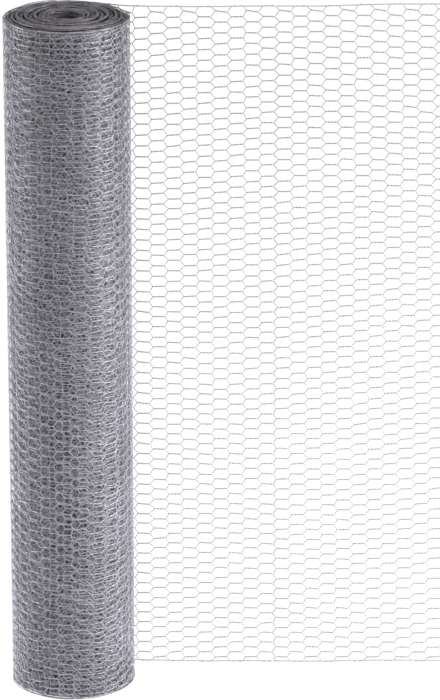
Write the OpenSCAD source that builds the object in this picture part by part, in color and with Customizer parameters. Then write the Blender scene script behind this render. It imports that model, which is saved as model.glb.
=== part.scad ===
// Roll of galvanised hexagonal wire netting, standing on its end, with its last stretch unrolled.
// Z is up. The origin is on the roll's axis, at its bottom end. The unrolled stretch runs along +X.

/* [Netting] */
// Width of the netting, which is the height of the standing roll
netting_w = 1000; // [500:50:1500]
// Number of meshes across the width
rows = 64; // [24:1:80]
// Distance from one column of twists to the next, along the netting
column_pitch = 22.5; // [16:0.5:30]
// Run of the slanting wires, along the netting
slant_run = 4.5; // [2:0.5:6]
// Thickness of the sheet over its twists, which are two wires thick
sheet_t = 1.4; // [1:0.1:2.4]
// Height of a twist bar
twist_h = 1.4; // [0.8:0.1:2]
// Width of a slanting wire
slant_w = 0.8; // [0.5:0.1:1.4]
// Height of the edge wire along each selvage
selvage_h = 1.6; // [1:0.1:3]

/* [Roll] */
// Outer radius of the roll
roll_r = 89; // [80:1:140]
// Radius of the bore that the winding spindle leaves
bore_r = 24; // [12:0.5:26]
// Number of wound turns
turns = 56; // [20:1:60]
// Flat width of one turn's edge on the end of the roll
land_w = 0.7; // [0.4:0.1:0.8]
// Depth of the gap between two turns' edges
gap_depth = 4; // [1:0.5:8]
// How far the turns drift along the axis
drift = 4; // [0:0.5:8]
// How many times they drift out and back, from the bore to the outside
drift_waves = 3; // [1:1:4]

/* [Unrolled stretch] */
// Direction from the axis to the line where the netting leaves the roll, from +X
leave_angle = 55; // [45:1:70]
// Columns of twists in the bend that turns it parallel to X
bend_columns = 3; // [2:1:4]
// Columns of twists that still lie on the roll
lap_columns = 1; // [1:1:2]
// Columns of twists in one piece of the unrolled stretch
columns_each = 4; // [2:1:4]

/* [Hidden] */
zinc = [0.64, 0.64, 0.68];
row_h = netting_w / rows;
turn_pitch = (roll_r - bore_r - land_w) / (turns - 1);
half_opening_l = (column_pitch - slant_run) / 2;
tip_l = (column_pitch + slant_run) / 2 - slant_w / 2;
bend_angle = 90 - leave_angle;
bend_l = bend_columns * column_pitch;
bend_r = bend_l / bend_angle * 180 / PI;
lap_r = roll_r + sheet_t / 2;
bend_centre = (lap_r + bend_r) * [cos(leave_angle), sin(leave_angle)];
flat_xy = bend_centre - [0, bend_r];
past = 1;

// How far turn i of the roll is lifted above its lowest place
function lift(i) = drift * (1 - cos(360 * drift_waves * i / (turns - 1))) / 2;
function turn_r(i) = bore_r + i * turn_pitch;

// One end of the wound turns, from the bore outwards: a flat for each edge and a V between two edges.
function end_line(z, inward) = [
    for (i = [0 : turns - 1]) each [
        [turn_r(i), z + lift(i)],
        [turn_r(i) + land_w, z + lift(i)],
        if (i < turns - 1) [
            (turn_r(i) + land_w + turn_r(i + 1)) / 2,
            z + (lift(i) + lift(i + 1)) / 2 + inward * gap_depth
        ]
    ]
];
function backwards(list) = [for (i = [len(list) - 1 : -1 : 0]) list[i]];

module roll() {
    color(zinc)
        rotate_extrude($fn = 144)
            polygon(concat(end_line(0, 1), backwards(end_line(netting_w, -1))));
}

// X of the middle of the netting, at distance s along it from the line where it leaves the roll
function path_x(s) =
    s < 0 ? lap_r * cos(leave_angle - s / lap_r * 180 / PI)
    : s < bend_l ? bend_centre.x - bend_r * cos(leave_angle + s / bend_r * 180 / PI)
    : flat_xy.x + s - bend_l;

// Netting that still lies on the roll, as an unpierced band
module lap_band(s0, s1) {
    rotate([0, 0, leave_angle - s1 / lap_r * 180 / PI])
        rotate_extrude(angle = (s1 - s0) / lap_r * 180 / PI, $fn = 144)
            translate([roll_r, 0])
                square([sheet_t, netting_w]);
}

module bend_band(s0, s1) {
    translate([bend_centre.x, bend_centre.y, 0])
        rotate([0, 0, 180 + leave_angle + s0 / bend_r * 180 / PI])
            rotate_extrude(angle = (s1 - s0) / bend_r * 180 / PI, $fn = 240)
                translate([bend_r - sheet_t / 2, 0])
                    square([sheet_t, netting_w]);
}

module flat_band(s0, s1) {
    translate([flat_xy.x + s0 - bend_l, flat_xy.y - sheet_t / 2, 0])
        cube([s1 - s0, sheet_t, netting_w]);
}

module band(s0, s1) {
    if (s0 < 0) lap_band(s0, min(s1, 0));
    if (s1 > 0 && s0 < bend_l) bend_band(max(s0, 0), min(s1, bend_l));
    if (s1 > bend_l) flat_band(max(s0, bend_l), s1);
}

// The opening of one mesh, in the X-Z plane, with its middle at distance s and height z
module mesh_opening(s, z) {
    bottom = max(z - (row_h - twist_h) / 2, selvage_h);
    top = min(z + (row_h - twist_h) / 2, netting_w - selvage_h);
    polygon([
        [path_x(s - half_opening_l), bottom], [path_x(s + half_opening_l), bottom],
        [path_x(s + tip_l), z],
        [path_x(s + half_opening_l), top], [path_x(s - half_opening_l), top],
        [path_x(s - tip_l), z]
    ]);
}

// Half of a mesh, which every second column has along each selvage. up is 1 or -1.
module half_mesh_opening(s, z, up) {
    foot = half_opening_l + (tip_l - half_opening_l) * (1 - 2 * selvage_h / row_h);
    polygon([
        [path_x(s - foot), z + up * selvage_h], [path_x(s + foot), z + up * selvage_h],
        [path_x(s + half_opening_l), z + up * (row_h - twist_h) / 2],
        [path_x(s - half_opening_l), z + up * (row_h - twist_h) / 2]
    ]);
}

module column_openings(c) {
    s = (c + 0.5) * column_pitch;
    if (c % 2 == 0) {
        for (j = [0 : rows - 1]) mesh_opening(s, (j + 0.5) * row_h);
    } else {
        for (j = [1 : rows - 1]) mesh_opening(s, j * row_h);
        half_mesh_opening(s, 0, 1);
        half_mesh_opening(s, netting_w, -1);
    }
}

// Piece n of the unrolled stretch: a band with its meshes cut through it
module netting(n) {
    first = -lap_columns + (n - 1) * columns_each;
    last = first + columns_each - 1;
    color(zinc)
        difference() {
            band(first * column_pitch, (last + 1) * column_pitch);
            translate([0, lap_r + sheet_t / 2 + past, 0])
                rotate([90, 0, 0])
                    linear_extrude(lap_r)
                        for (c = [first - 1 : last + 1]) column_openings(c);
        }
}

roll();
netting(1);  // netting_1
netting(2);  // netting_2
netting(3);  // netting_3
netting(4);  // netting_4
netting(5);  // netting_5
netting(6);  // netting_6
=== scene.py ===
"""A roll of galvanised chicken wire standing on its end, with its last stretch unrolled beside it."""

import math

import bpy
import numpy as np
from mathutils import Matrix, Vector


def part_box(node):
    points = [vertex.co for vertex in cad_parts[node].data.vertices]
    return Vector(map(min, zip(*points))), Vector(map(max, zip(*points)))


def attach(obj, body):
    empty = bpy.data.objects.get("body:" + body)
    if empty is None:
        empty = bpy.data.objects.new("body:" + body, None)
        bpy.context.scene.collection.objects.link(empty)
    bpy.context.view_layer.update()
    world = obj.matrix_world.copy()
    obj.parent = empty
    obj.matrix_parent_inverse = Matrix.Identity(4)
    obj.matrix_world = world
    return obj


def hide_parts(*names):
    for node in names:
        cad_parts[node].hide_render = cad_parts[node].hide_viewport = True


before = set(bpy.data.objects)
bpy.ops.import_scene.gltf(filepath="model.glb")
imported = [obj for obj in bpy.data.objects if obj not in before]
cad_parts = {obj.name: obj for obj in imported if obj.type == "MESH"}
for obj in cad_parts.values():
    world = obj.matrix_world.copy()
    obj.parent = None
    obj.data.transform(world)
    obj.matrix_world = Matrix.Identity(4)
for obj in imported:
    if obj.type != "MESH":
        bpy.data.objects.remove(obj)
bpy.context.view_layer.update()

# ---------------------------------------------------------------------------------------------
# The unrolled stretch of netting. Each zinc-dipped steel wire runs the whole length of the sheet
# and is twisted round its upper and its lower neighbour in turn, which leaves hexagonal meshes,
# with an edge wire at the top and the bottom. It runs off the back of the roll, to the right.
# ---------------------------------------------------------------------------------------------
WIRE_R = 0.00045
ROWS = 64
TWIST_L = 0.0174
flat_low, flat_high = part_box("netting_3")
sheet_end_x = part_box("netting_6")[1].x
roll_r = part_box("roll")[1].x
netting_w = flat_high.z - flat_low.z
row_h = netting_w / ROWS
COLUMNS_PER_NODE = 4
column_pitch = (flat_high.x - flat_low.x) / COLUMNS_PER_NODE
sheet_t = flat_high.y - flat_low.y

# Its path, seen from above: wound round the roll, off it at LEAVE, round a bend and along X.
LEAVE = math.radians(55)
BORE_R = 0.024
TURNS = 56
TURN_PITCH = (roll_r - BORE_R) / TURNS
lap_r = roll_r + sheet_t / 2
flat_y = (flat_low.y + flat_high.y) / 2
bend_r = (lap_r * math.sin(LEAVE) - flat_y) / (1 - math.sin(LEAVE))
bend_l = bend_r * (math.pi / 2 - LEAVE)
bend_x = (lap_r + bend_r) * math.cos(LEAVE)
bend_y = (lap_r + bend_r) * math.sin(LEAVE)
flat_columns = round((sheet_end_x - bend_x) / column_pitch + bend_l / column_pitch)
sheet_l = flat_columns * column_pitch

# The winding is uneven. Under the outer seven turns they lie in tight bunches with open gaps of
# SLACK between them, each bunch is lifted by its own share, and the turns grow oval inwards.
FIRST_BUNCH = 7.2
BUNCH = 5.6
GAP_SHARE = 0.09
SLACK = 0.0033
OVAL = 0.0012
LIFTS = (0, 0.0007, 0.0024, 0.0010, 0.0030, 0.0014, 0.0034, 0.0012, 0.0030, 0.0018)
POINTS_PER_TURN = 120
wind_u = np.linspace(0, TURNS * 2 * math.pi, TURNS * POINTS_PER_TURN + 1)
wind_turn = wind_u / (2 * math.pi)
uneven = 0.4 * np.sin(wind_turn * 1.1) * np.clip(wind_turn / 9, 0, 1)
bunch_no = (wind_turn - FIRST_BUNCH + uneven) / BUNCH
in_bunch = np.where(bunch_no < 0, 1, bunch_no % 1)
ramp = np.clip(in_bunch / GAP_SHARE, 0, 1)
ramp = ramp * ramp * (3 - 2 * ramp)
wobble = 0.00024 * np.sin(4.3 * wind_u + 1)
wobble = wobble + 0.00018 * np.sin(6.7 * wind_u)
wobble = wobble + 0.00014 * np.sin(11.1 * wind_u)
wind_r = lap_r - TURN_PITCH * wind_turn + SLACK * (in_bunch - ramp)
wind_r = wind_r + wobble * np.clip(wind_turn - 1, 0, 1)
wind_r = wind_r + OVAL * (wind_turn / TURNS) * np.cos(2 * wind_u + 0.35 + 0.05 * wind_turn)
wind_r = np.maximum(wind_r, BORE_R + 0.0006)
wind_step = np.diff(wind_u) * (wind_r[1:] + wind_r[:-1]) / 2
wind_s = -np.concatenate([[0], np.cumsum(wind_step)])
lifts = np.array(LIFTS)
bunch_at = np.floor(bunch_no).astype(int).clip(-1) + 1
wind_lift = lifts[(bunch_at - 1).clip(0)] * (1 - ramp) + lifts[bunch_at] * ramp

# The sheet widens a little towards its free end, by this share.
FLARE = 0.005


def place(s, z, off):
    """Points of the netting at distance s along it, height z, and off outside its middle."""
    u = np.interp(-s, -wind_s, wind_u)
    r = np.interp(u, wind_u, wind_r)
    on_roll = s < 0
    in_bend = (s >= 0) & (s < bend_l)
    turn = np.where(on_roll, LEAVE + u, np.where(in_bend, LEAVE + s / bend_r, math.pi / 2))
    nx, ny = np.cos(turn), np.sin(turn)
    x = np.where(on_roll, r * nx, np.where(in_bend, bend_x - bend_r * nx, bend_x + s - bend_l))
    y = np.where(on_roll, r * ny, np.where(in_bend, bend_y - bend_r * ny, flat_y))
    z = z * (1 + FLARE * np.clip(s / sheet_l, 0, 1))
    z = z + np.where(on_roll, np.interp(u, wind_u, wind_lift), 0)
    normal = np.stack([nx, ny, np.zeros_like(nx)], -1)
    return np.stack([x, y, z], -1) + off[..., None] * normal, normal


# How the wound turns settle against each other. At the front, the columns of one lie at NEST of a
# column from those of the outermost turn in the middle of the height, and at NEST_ENDS above and
# below that. SHIFT is how far a turn sits up or down, and TOP_DROP how far its top edge sags.
NEST = (0, 0.50, 0.05, 0.56, 0.98, 0.46, 0.10, 1.52, 0.02)
NEST_ENDS = (0, 0.68, -0.34, 1.02, 1.34, 0.33, -0.60, 1.75, 0.4)
SHIFT = (0, 0.0007, -0.0009, 0.0034, -0.0029, -0.0015, 0.0022, -0.0008, 0.001)
TOP_DROP = (0, 0.0008, 0.0003, 0.0014, 0.0006, 0.0012, 0.0004, 0.0010, 0)
ALL_COLUMNS = 960
first_column = ALL_COLUMNS - flat_columns
column_no = np.arange(ALL_COLUMNS)[:, None] - first_column
level_no = np.arange(2 * ROWS + 1)[None, :]
front_u = math.radians(270) - LEAVE + 2 * math.pi * np.arange(len(NEST))
front_column = np.interp(front_u, wind_u, wind_s) / column_pitch
off_nest = (np.array(NEST) - front_column[0] + front_column + 1) % 2 - 1
off_ends = off_nest + np.array(NEST_ENDS) - np.array(NEST)
share_up = level_no / (2 * ROWS)
spread = np.clip((share_up - 0.40) / 0.25, 0, 1) + 0.8 * np.clip((0.22 - share_up) / 0.15, 0, 1)
nest_mid, nest_ends, settle, top_drop = (
    np.interp(column_no, front_column[::-1], np.array(values)[::-1])
    for values in (off_nest, off_ends, SHIFT, TOP_DROP)
)
stretch = column_pitch * (nest_mid + (nest_ends - nest_mid) * spread)
settle = settle * spread

# Towards the two sides each turn slips a share of a mesh of its own past the next.
UP_SLIP = 0.382
ALONG_SLIP = 0.618
on_wind = np.clip(-column_no / 8, 0, 1)
column_u = np.interp(-(column_no + 0.5) * column_pitch, -wind_s, wind_u)
from_front = (column_u + LEAVE) / (2 * math.pi) - 0.75
sideways = np.sin(2 * math.pi * from_front) ** 2 * on_wind
slip = np.floor(from_front)
settle = settle + 0.5 * row_h * ((slip * UP_SLIP) % 1 - 0.5) * sideways
stretch = stretch + column_pitch * ((slip * ALONG_SLIP) % 1 - 0.5) * sideways

# Wound meshes also wander in slow waves, most of all high and low on the roll.
wander = 0.5 * spread * on_wind
settle = settle + wander * 0.0013 * np.sin(column_no * 0.83 + level_no * 0.17)
settle = settle + wander * 0.0011 * np.sin(column_no * 1.31 - level_no * 0.23 + 2)
stretch = stretch + wander * 0.0032 * np.sin(column_no * 0.57 + level_no * 0.29)
stretch = stretch + wander * 0.0022 * np.sin(column_no * 1.10 - level_no * 0.37 + 1)

# How each twist sits: node_dz up, node_ds along and node_tilt off level. Every twist follows slow
# waves over the sheet and has a small error of its own, which is larger on the roll.
LOOSE_ON_ROLL = 2.4
shake = np.random.default_rng(16)
loose = np.where(column_no < 0, LOOSE_ON_ROLL, 1)
wave = 0.9 * np.sin(column_no * 0.21 + level_no * 0.043)
wave = wave + 0.7 * np.sin(column_no * 0.47 - level_no * 0.11 + 1.3)
wave = wave + 0.5 * np.sin(level_no * 0.31 + column_no * 0.09)
edge_hold = np.minimum(level_no, 2 * ROWS - level_no).clip(0, 8) / 8
node_dz = (0.0009 * wave + settle + loose * shake.normal(0, 0.0003, wave.shape)) * edge_hold

# The edge wires wave a little too, and those of the inner turns stand at uneven heights.
edge_wave = 0.0006 * np.sin(column_no * 0.33 + 1) + 0.0004 * np.sin(column_no * 0.83) + 0.0002
edge_shake = np.repeat(shake.normal(0, 0.0011, (ALL_COLUMNS // 3, 2)), 3, axis=0)
edge_shake = edge_shake * np.clip(-(column_no + 20) / 60, 0, 1)
node_dz[:, 0] = np.maximum(edge_wave[:, 0] + 0.0008 + edge_shake[:, 0], 0)
node_dz[:, -1] = edge_wave[:, 0] * 1.2 + edge_shake[:, 1] - top_drop[:, 0]
node_dz[:, -2] -= 0.5 * top_drop[:, 0]
twist_wave = 0.0006 * np.sin(column_no * 1.9 + level_no * 0.05)
node_ds = stretch + twist_wave + loose * shake.normal(0, 0.0004, wave.shape)
tilt_wave = 0.05 * np.cos(column_no * 0.21 + level_no * 0.05)
node_tilt = loose * shake.normal(0, 0.03, wave.shape) + tilt_wave
node_tilt[:, 0] = node_tilt[:, -1] = 0
node_tilt[:, -2] = -0.15 + shake.normal(0, 0.03, ALL_COLUMNS)
node_tilt[:, 1] += 0.06


def netting_wires(columns, wires, steps, coils, radius):
    """Middle lines of these wires over these columns: (wires, points, 3), and the normals there.

    Each wire coils round its neighbour at radius in a twist, or lies on one side of it if coils is 0.
    """
    columns = range(columns[0] - 1, columns[-1] + 1)
    c, w = np.asarray(columns)[None, :], np.asarray(wires)[:, None]
    upper = (w + c) % 2 == 0
    level = np.where(upper, w, w + 1)
    at = c + first_column
    share = np.linspace(0, 1, steps + 1)
    side = np.where(upper, 1.0, -1.0)[..., None]
    turn = 2 * math.pi * coils * share
    s = ((c + 0.5) * column_pitch + node_ds[at, level])[..., None] + (share - 0.5) * TWIST_L
    z = (level * row_h / 2 + node_dz[at, level])[..., None]
    z = z + (share - 0.5) * TWIST_L * np.tan(node_tilt[at, level])[..., None]
    z = z + radius * side * (np.cos(turn) if coils else 0)
    off = radius * side * (np.sin(turn) if coils else 1) + 0 * s
    flat = (len(wires), -1)
    s, z, off = (x.reshape(flat)[:, steps:] for x in (s, z, off))
    return place(s, z, off)


def selvage(columns, top, steps):
    """Middle line of the edge wire that the outermost meshes are twisted round, and its normals."""
    c = np.asarray(columns)
    first, last = c[0] * column_pitch, (c[-1] + 1) * column_pitch
    s = np.linspace(first, last, len(c) * steps + 1)[None, :]
    level = 2 * ROWS if top else 0
    rise = np.interp(s, (column_no[:, 0] + 0.5) * column_pitch, node_dz[:, level])
    z = level * row_h / 2 + rise + (-1 if top else 1) * WIRE_R
    return place(s, z, 0 * s)


def round_wires(middles, normals, radius, sides):
    """Vertices and faces of closed round wires along rows of points."""
    along = np.gradient(middles, axis=1)
    along /= np.linalg.norm(along, axis=-1, keepdims=True)
    across = np.cross(along, normals)
    across /= np.linalg.norm(across, axis=-1, keepdims=True)
    out = np.cross(across, along)
    angle = 2 * math.pi * np.arange(sides) / sides
    ring = out[..., None, :] * np.cos(angle)[:, None] + across[..., None, :] * np.sin(angle)[:, None]
    points = (middles[..., None, :] + radius * ring).reshape(-1, 3)
    count, length = middles.shape[:2]
    index = np.arange(count * length * sides).reshape(count, length, sides)
    after = np.roll(index, -1, axis=2)
    quads = np.stack([index[:, :-1], after[:, :-1], after[:, 1:], index[:, 1:]], -1).reshape(-1, 4)
    caps = np.concatenate([index[:, 0, ::-1], index[:, -1, :]])
    return points, quads, caps


def wire_object(name, parts):
    """One mesh object from several round_wires() results."""
    points, loops, sizes, base = [], [], [], 0
    for verts, quads, caps in parts:
        points.append(verts)
        for faces in (quads, caps):
            loops.append(faces.ravel() + base)
            sizes.append(np.full(len(faces), faces.shape[1]))
        base += len(verts)
    points, loops, sizes = (np.concatenate(x) for x in (points, loops, sizes))
    starts = np.concatenate([[0], np.cumsum(sizes)[:-1]])
    mesh = bpy.data.meshes.new(name)
    mesh.vertices.add(len(points))
    mesh.vertices.foreach_set("co", points.astype(np.float32).ravel())
    mesh.loops.add(len(loops))
    mesh.loops.foreach_set("vertex_index", loops.astype(np.int32))
    mesh.polygons.add(len(sizes))
    mesh.polygons.foreach_set("loop_start", starts.astype(np.int32))
    mesh.polygons.foreach_set("use_smooth", np.ones(len(sizes), bool))
    mesh.update(calc_edges=True)
    mesh.validate()
    made = bpy.data.objects.new(name, mesh)
    bpy.context.scene.collection.objects.link(made)
    return made


def add(tree, kind, values=(), **settings):
    """A shader node with these settings, and with these values on its input sockets."""
    node = tree.nodes.new(kind)
    for key, value in settings.items():
        setattr(node, key, value)
    for socket, value in dict(values).items():
        node.inputs[socket].default_value = value
    return node


# The skin that every zinc here shares: a dull bluish grey with soft spangle and patches. By the shares
# that a material asks for, painted shade darkens it deep in the roll, away from its ends and high up.
zinc_skin_and_shade = bpy.data.node_groups.new("zinc_skin_and_shade", "ShaderNodeTree")
for name in ("Light", "Dark"):
    zinc_skin_and_shade.interface.new_socket(name, in_out="INPUT", socket_type="NodeSocketColor")
for name in ("Outer Radius", "Depth", "Deep Shade", "End Shade", "Top Shade"):
    zinc_skin_and_shade.interface.new_socket(name, in_out="INPUT", socket_type="NodeSocketFloat")
zinc_skin_and_shade.interface.new_socket("Color", in_out="OUTPUT", socket_type="NodeSocketColor")
for name in ("Roughness", "Height"):
    zinc_skin_and_shade.interface.new_socket(name, in_out="OUTPUT", socket_type="NodeSocketFloat")
group_in = add(zinc_skin_and_shade, "NodeGroupInput")
group_out = add(zinc_skin_and_shade, "NodeGroupOutput")
join = zinc_skin_and_shade.links.new

# Spangle, and broad patches of it, mix the light colour with the dark one.
spot = add(zinc_skin_and_shade, "ShaderNodeTexCoord")
spangle = add(zinc_skin_and_shade, "ShaderNodeTexVoronoi", {"Scale": 420})
join(spot.outputs["Object"], spangle.inputs["Vector"])
patches = add(zinc_skin_and_shade, "ShaderNodeTexNoise", {"Scale": 16, "Detail": 3})
join(spot.outputs["Object"], patches.inputs["Vector"])
patch_mask = add(zinc_skin_and_shade, "ShaderNodeMapRange", {"From Min": 0.35, "From Max": 0.65, "To Max": 0.3})
join(patches.outputs["Fac"], patch_mask.inputs["Value"])
SPANGLE_SHARE = 0.7
mottle = add(zinc_skin_and_shade, "ShaderNodeMath", {1: SPANGLE_SHARE}, operation="MULTIPLY_ADD", use_clamp=True)
join(spangle.outputs["Color"], mottle.inputs[0])
join(patch_mask.outputs["Result"], mottle.inputs[2])
tone = add(zinc_skin_and_shade, "ShaderNodeMix", data_type="RGBA")
join(mottle.outputs[0], tone.inputs["Factor"])
join(group_in.outputs["Light"], tone.inputs["A"])
join(group_in.outputs["Dark"], tone.inputs["B"])

# Painted shade by depth, for turns lying in each other's shade: from 1 at the outer radius to Deep
# Shade at Depth under it.
split = add(zinc_skin_and_shade, "ShaderNodeSeparateXYZ")
join(spot.outputs["Object"], split.inputs[0])
flat_spot = add(zinc_skin_and_shade, "ShaderNodeCombineXYZ")
join(split.outputs["X"], flat_spot.inputs["X"])
join(split.outputs["Y"], flat_spot.inputs["Y"])
from_axis = add(zinc_skin_and_shade, "ShaderNodeVectorMath", operation="LENGTH")
join(flat_spot.outputs[0], from_axis.inputs[0])
inside = add(zinc_skin_and_shade, "ShaderNodeMath", operation="SUBTRACT")
join(group_in.outputs["Outer Radius"], inside.inputs[0])
join(from_axis.outputs["Value"], inside.inputs[1])
depth_shade = add(zinc_skin_and_shade, "ShaderNodeMapRange", {"To Min": 1})
join(inside.outputs[0], depth_shade.inputs["Value"])
join(group_in.outputs["Depth"], depth_shade.inputs["From Max"])
join(group_in.outputs["Deep Shade"], depth_shade.inputs["To Max"])

# Painted shade by distance from an end, for the shade down between the turns: from 1 at either end to
# End Shade at END_DEPTH inside it.
END_DEPTH = 0.013
from_middle = add(zinc_skin_and_shade, "ShaderNodeMath", {1: netting_w / 2 + 0.002}, operation="SUBTRACT")
join(split.outputs["Z"], from_middle.inputs[0])
half_height = add(zinc_skin_and_shade, "ShaderNodeMath", operation="ABSOLUTE")
join(from_middle.outputs[0], half_height.inputs[0])
end_range = {"From Min": netting_w / 2 - 0.0005, "From Max": netting_w / 2 - END_DEPTH, "To Min": 1}
end_shade = add(zinc_skin_and_shade, "ShaderNodeMapRange", end_range)
join(half_height.outputs[0], end_shade.inputs["Value"])
join(group_in.outputs["End Shade"], end_shade.inputs["To Max"])

# Painted shade by height, for less light falling high up: from 1 low down to Top Shade near the top.
top_range = {"From Min": netting_w * 0.3, "From Max": netting_w * 0.9, "To Min": 1}
top_shade = add(zinc_skin_and_shade, "ShaderNodeMapRange", top_range)
join(split.outputs["Z"], top_shade.inputs["Value"])
join(group_in.outputs["Top Shade"], top_shade.inputs["To Max"])

# All three painted shades darken the colour. Roughness follows the mottle, and the height a fine
# grain.
depth_and_end = add(zinc_skin_and_shade, "ShaderNodeMath", operation="MULTIPLY")
join(depth_shade.outputs["Result"], depth_and_end.inputs[0])
join(end_shade.outputs["Result"], depth_and_end.inputs[1])
whole_shade = add(zinc_skin_and_shade, "ShaderNodeMath", operation="MULTIPLY")
join(depth_and_end.outputs[0], whole_shade.inputs[0])
join(top_shade.outputs["Result"], whole_shade.inputs[1])
painted_shade_color = add(zinc_skin_and_shade, "ShaderNodeVectorMath", operation="SCALE")
join(tone.outputs["Result"], painted_shade_color.inputs[0])
join(whole_shade.outputs[0], painted_shade_color.inputs["Scale"])
join(painted_shade_color.outputs[0], group_out.inputs["Color"])
rough = add(zinc_skin_and_shade, "ShaderNodeMapRange", {"To Min": 0.34, "To Max": 0.62})
join(mottle.outputs[0], rough.inputs["Value"])
join(rough.outputs["Result"], group_out.inputs["Roughness"])
grain = add(zinc_skin_and_shade, "ShaderNodeTexNoise", {"Scale": 900})
join(spot.outputs["Object"], grain.inputs["Vector"])
join(grain.outputs["Fac"], group_out.inputs["Height"])


def zinc_material(name, light, dark, metallic, **shades):
    """A zinc between these two colours, with painted shade. Each shade left out is 1, which darkens
    nothing.
    """
    material = bpy.data.materials.new(name)
    material.use_nodes = True
    tree = material.node_tree
    shader = tree.nodes["Principled BSDF"]
    shader.inputs["Metallic"].default_value = metallic
    skin = add(tree, "ShaderNodeGroup", node_tree=zinc_skin_and_shade)
    skin.inputs["Light"].default_value = (*light, 1)
    skin.inputs["Dark"].default_value = (*dark, 1)
    skin.inputs["Outer Radius"].default_value = roll_r
    skin.inputs["Depth"].default_value = shades.get("depth", 0.01)
    skin.inputs["Deep Shade"].default_value = shades.get("deep_shade", 1)
    skin.inputs["End Shade"].default_value = shades.get("end_shade", 1)
    skin.inputs["Top Shade"].default_value = shades.get("top_shade", 1)
    tree.links.new(skin.outputs["Color"], shader.inputs["Base Color"])
    tree.links.new(skin.outputs["Roughness"], shader.inputs["Roughness"])
    bump = add(tree, "ShaderNodeBump", {"Strength": 0.25, "Distance": 0.0001})
    tree.links.new(skin.outputs["Height"], bump.inputs["Height"])
    tree.links.new(bump.outputs["Normal"], shader.inputs["Normal"])
    return material


# Two wires to each twist, coiled twice round each other, and one to each slanting side.
SHEET_STEPS = 10
SHEET_COILS = 2
SHEET_TWIST_R = WIRE_R * 1.15
SHEET_WIRE_R = WIRE_R * 1.45
SHEET_EDGE_R = WIRE_R * 1.7
WIRE_SIDES = 3
SHEET_EDGE_SIDES = 6
EDGE_STEPS = 4
# The sheet's colour carries painted shade, darker towards its top.
sheet_zinc = zinc_material("sheet_zinc", (0.60, 0.59, 0.635), (0.44, 0.43, 0.45), 0.5, top_shade=0.74)
all_wires = range(2 * ROWS)
half = flat_columns // 2
stretches = (
    ("netting_near", range(-1, half), range(1, 4)),
    ("netting_far", range(half, flat_columns), range(4, 7)),
)
for name, columns, nodes in stretches:
    middles = netting_wires(columns, all_wires, SHEET_STEPS, SHEET_COILS, SHEET_TWIST_R)
    parts = [round_wires(*middles, SHEET_WIRE_R, WIRE_SIDES)]
    for top in (False, True):
        edge = selvage(columns, top, EDGE_STEPS)
        parts.append(round_wires(*edge, SHEET_EDGE_R, SHEET_EDGE_SIDES))
    piece = wire_object(name, parts)
    piece.data.materials.append(sheet_zinc)
    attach(piece, "root")
    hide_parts(*[f"netting_{i}" for i in nodes])

# ---------------------------------------------------------------------------------------------
# The outer turns of the roll, of the same zinc-dipped netting wound tight on itself. The last two
# turns show every twist, and the four or so under them show through their meshes.
# ---------------------------------------------------------------------------------------------
OUTER_TURNS = 6.4
WOUND_TWIST_R = WIRE_R * 0.4
WOUND_WIRE_R = WIRE_R * 1.1
LAST_WOUND_COLUMN = -1


def columns_of_turns(first, last):
    """The columns of twists that lie between these turns, counted in from the outside."""
    near = np.interp(first * 2 * math.pi, wind_u, wind_s)
    far = np.interp(last * 2 * math.pi, wind_u, wind_s)
    return range(math.ceil(far / column_pitch), math.ceil(near / column_pitch))


# Its colour carries painted shade: darker deeper in the winding and towards the top.
wound_zinc = zinc_material(
    "wound_zinc", (0.68, 0.668, 0.755), (0.38, 0.368, 0.408), 0.4,
    depth=0.007, deep_shade=0.74, top_shade=0.78,
)
# Each row: the piece, its first and last turn, steps to a twist, and coils in it.
wound_pieces = (
    ("outer_turn_1", 0, 1, 5, 1),
    ("outer_turn_2", 1, 2, 5, 1),
    ("under_turns_1", 2, 4.2, 1, 0),
    ("under_turns_2", 4.2, OUTER_TURNS, 1, 0),
)
for name, first, last, steps, coils in wound_pieces:
    columns = columns_of_turns(first, last)
    columns = range(columns[0], min(columns[-1] + 1, LAST_WOUND_COLUMN))
    middles = netting_wires(columns, all_wires, steps, coils, WOUND_TWIST_R)
    piece = wire_object(name, [round_wires(*middles, WOUND_WIRE_R, WIRE_SIDES)])
    piece.data.materials.append(wound_zinc)
    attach(piece, "root")
    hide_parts("roll")

# ---------------------------------------------------------------------------------------------
# The ends of the roll. Each turn's zinc-dipped edge wire, and the first meshes twisted round it,
# stand open at the top and the bottom. They are drawn thick enough for neighbouring turns to touch.
# ---------------------------------------------------------------------------------------------
END_WIRES = 5
END_EDGE_SIDES = 4
innermost_turn = TURNS - 0.02
# Its colour carries painted shade, darker away from the ends, down between the turns.
end_zinc = zinc_material("end_zinc", (0.44, 0.415, 0.45), (0.12, 0.111, 0.116), 0.4, end_shade=0.15)
inner_columns = columns_of_turns(OUTER_TURNS, innermost_turn)
wound_columns = columns_of_turns(0, innermost_turn)
roll_ends = (
    ("bottom_edges", False, range(END_WIRES), WIRE_R * 1.35),
    ("top_edges", True, range(2 * ROWS - END_WIRES, 2 * ROWS), WIRE_R * 1.15),
)
for name, top, wires, edge_r in roll_ends:
    middles = netting_wires(inner_columns, wires, 1, 0, WIRE_R)
    edge = selvage(wound_columns, top, EDGE_STEPS)
    parts = [round_wires(*middles, WIRE_R, WIRE_SIDES), round_wires(*edge, edge_r, END_EDGE_SIDES)]
    piece = wire_object(name, parts)
    piece.data.materials.append(end_zinc)
    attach(piece, "root")
    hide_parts("roll")

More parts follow.
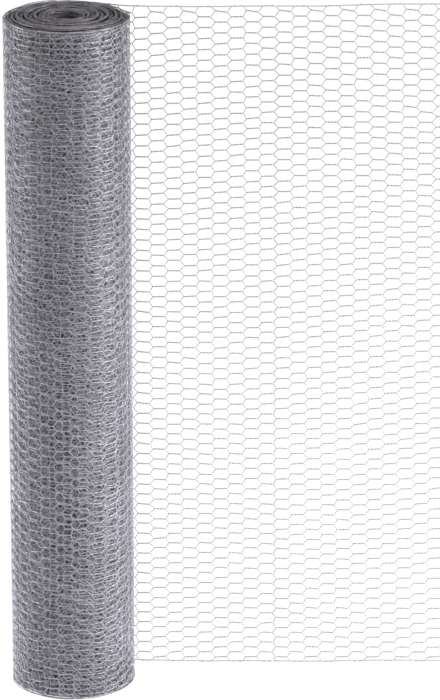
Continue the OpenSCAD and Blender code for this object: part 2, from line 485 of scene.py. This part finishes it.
# ---------------------------------------------------------------------------------------------
# The imported inner turns, about fifty of the same netting. They show only as a dense tangle of zinc,
# darkened by painted shade, behind the outer turns, between the turns at the ends, and down the bore.
# ---------------------------------------------------------------------------------------------
PACK_SEGMENTS = 96
SIDE_RINGS = 4
pack_r = np.interp(OUTER_TURNS * 2 * math.pi, wind_u, wind_r) - 0.0012
pack_bottom = 0.022
pack_top = netting_w - 0.022
skirt_z = 0.001
flange_r = roll_r - 0.0016
rim_z = netting_w - 0.003
bore_wall_r = BORE_R + 0.0018
profile = [
    (pack_r, skirt_z),
    (pack_r, netting_w - 0.012),
    (flange_r, netting_w - 0.006),
    (flange_r, rim_z),
    (pack_r - 0.001, rim_z),
    (pack_r - 0.003, rim_z),
    (pack_r - 0.004, pack_top),
    (BORE_R + 0.005, pack_top),
    (BORE_R + 0.003, rim_z),
    (bore_wall_r, rim_z),
    (bore_wall_r, pack_bottom),
    (pack_r - 0.004, pack_bottom),
    (pack_r - 0.002, skirt_z),
]
corner = 2 * math.pi * np.arange(PACK_SEGMENTS) / PACK_SEGMENTS
verts = [(r * math.cos(a), r * math.sin(a), z) for r, z in profile for a in corner]
faces = []
for k in range(len(profile)):
    ring = k * PACK_SEGMENTS
    next_ring = (k + 1) % len(profile) * PACK_SEGMENTS
    for i in range(PACK_SEGMENTS):
        j = (i + 1) % PACK_SEGMENTS
        faces.append((ring + i, ring + j, next_ring + j, next_ring + i))
mesh = bpy.data.meshes.new("packed_turns")
mesh.from_pydata(verts, [], faces)
mesh.update()
packed = bpy.data.objects.new("packed_turns", mesh)
bpy.context.scene.collection.objects.link(packed)

# Its side carries two nets of light lines over darker zinc, as wires that lie one over another. Its
# dark colour, the gaps between the lines at NET_GAP_SHADE and its darkening towards the top are
# painted shade.
NET_GAP_SHADE = 0.13
packed_zinc = zinc_material(
    "packed_zinc", (0.29, 0.284, 0.315), (0.14, 0.137, 0.151), 0.0, top_shade=0.74
)
tree = packed_zinc.node_tree
spot = add(tree, "ShaderNodeTexCoord")
wires_and_gap_shade = add(tree, "ShaderNodeMath", operation="MAXIMUM")
for slot, (scale, line_w) in enumerate(((118, 0.075), (165, 0.085))):
    net = add(tree, "ShaderNodeTexVoronoi", {"Scale": scale}, feature="DISTANCE_TO_EDGE")
    tree.links.new(spot.outputs["Object"], net.inputs["Vector"])
    line_range = {"From Min": line_w * 0.7, "From Max": line_w * 1.5}
    line = add(tree, "ShaderNodeMapRange", {**line_range, "To Min": 1, "To Max": NET_GAP_SHADE})
    tree.links.new(net.outputs["Distance"], line.inputs["Value"])
    tree.links.new(line.outputs["Result"], wires_and_gap_shade.inputs[slot])
packed_shader = tree.nodes["Principled BSDF"]
skin_and_shade_color = packed_shader.inputs["Base Color"].links[0].from_socket
drawn = add(tree, "ShaderNodeVectorMath", operation="SCALE")
tree.links.new(skin_and_shade_color, drawn.inputs[0])
tree.links.new(wires_and_gap_shade.outputs[0], drawn.inputs["Scale"])
tree.links.new(drawn.outputs[0], packed_shader.inputs["Base Color"])
# The rest of it, at its top, down the bore and underneath, carries painted shadow that darkens fast
# away from the ends.
shadow_zinc = zinc_material("shadow_zinc", (0.56, 0.54, 0.57), (0.3, 0.285, 0.3), 0.0, end_shade=0.03)
packed.data.materials.append(packed_zinc)
packed.data.materials.append(shadow_zinc)
for i, polygon in enumerate(packed.data.polygons):
    polygon.material_index = 0 if i < SIDE_RINGS * PACK_SEGMENTS else 1
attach(packed, "root")
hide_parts("roll")

# ---------------------------------------------------------------------------------------------
# The studio: a plain white floor, a broad soft lamp on the right, a weaker one on the left and a
# faint one above. The camera stands in front and looks a little down.
# ---------------------------------------------------------------------------------------------
FLOOR = 40
floor_mesh = bpy.data.meshes.new("floor")
floor_corners = [(-FLOOR, -FLOOR, 0), (FLOOR, -FLOOR, 0), (FLOOR, FLOOR, 0), (-FLOOR, FLOOR, 0)]
floor_mesh.from_pydata(floor_corners, [], [(0, 1, 2, 3)])
floor = bpy.data.objects.new("floor", floor_mesh)
floor.location.z = -0.0005
bpy.context.scene.collection.objects.link(floor)
white = bpy.data.materials.new("studio_white")
white.use_nodes = True
white_shader = white.node_tree.nodes["Principled BSDF"]
white_shader.inputs["Base Color"].default_value = (0.06, 0.06, 0.06, 1)
white_shader.inputs["Roughness"].default_value = 1
white_shader.inputs["Specular IOR Level"].default_value = 0
white_shader.inputs["Emission Color"].default_value = (1, 1, 1, 1)
white_shader.inputs["Emission Strength"].default_value = 0.98
floor_mesh.materials.append(white)

world = bpy.data.worlds.new("studio")
bpy.context.scene.world = world
world.use_nodes = True
world.node_tree.nodes["Background"].inputs["Color"].default_value = (0.95, 0.96, 1, 1)
world.node_tree.nodes["Background"].inputs["Strength"].default_value = 0.45

LIT_SPOT = Vector((0.1, 0, 0.4))


def softbox(name, azimuth, height, distance, width, tall, power):
    """A rectangular lamp that faces the roll. Azimuth 0 is in front, and 90 is to the right."""
    lamp = bpy.data.lights.new(name, "AREA")
    lamp.shape = "RECTANGLE"
    lamp.size, lamp.size_y, lamp.energy = width, tall, power
    made = bpy.data.objects.new(name, lamp)
    a = math.radians(azimuth)
    made.location = (distance * math.sin(a), -distance * math.cos(a), height)
    aim = LIT_SPOT - made.location
    made.rotation_mode = "QUATERNION"
    made.rotation_quaternion = aim.to_track_quat("-Z", "Y")
    bpy.context.scene.collection.objects.link(made)


softbox("right_softbox", azimuth=68, height=0.9, distance=3.0, width=2.0, tall=2.0, power=164)
softbox("left_softbox", azimuth=-85, height=0.85, distance=3.0, width=1.2, tall=2.0, power=96)
softbox("top_softbox", azimuth=10, height=3.6, distance=0.6, width=2.5, tall=2.5, power=22)

LOOK_DOWN = 19.017
camera_data = bpy.data.cameras.new("camera")
camera_data.lens = 227.47
camera_data.sensor_width = 36
camera_data.clip_end = 100
camera = bpy.data.objects.new("camera", camera_data)
camera.location = (0.2147, -6.0, 2.5752)
camera.rotation_euler = (math.radians(90 - LOOK_DOWN), 0, 0)
bpy.context.scene.collection.objects.link(camera)
bpy.context.scene.camera = camera
bpy.context.scene.view_settings.view_transform = "Standard"
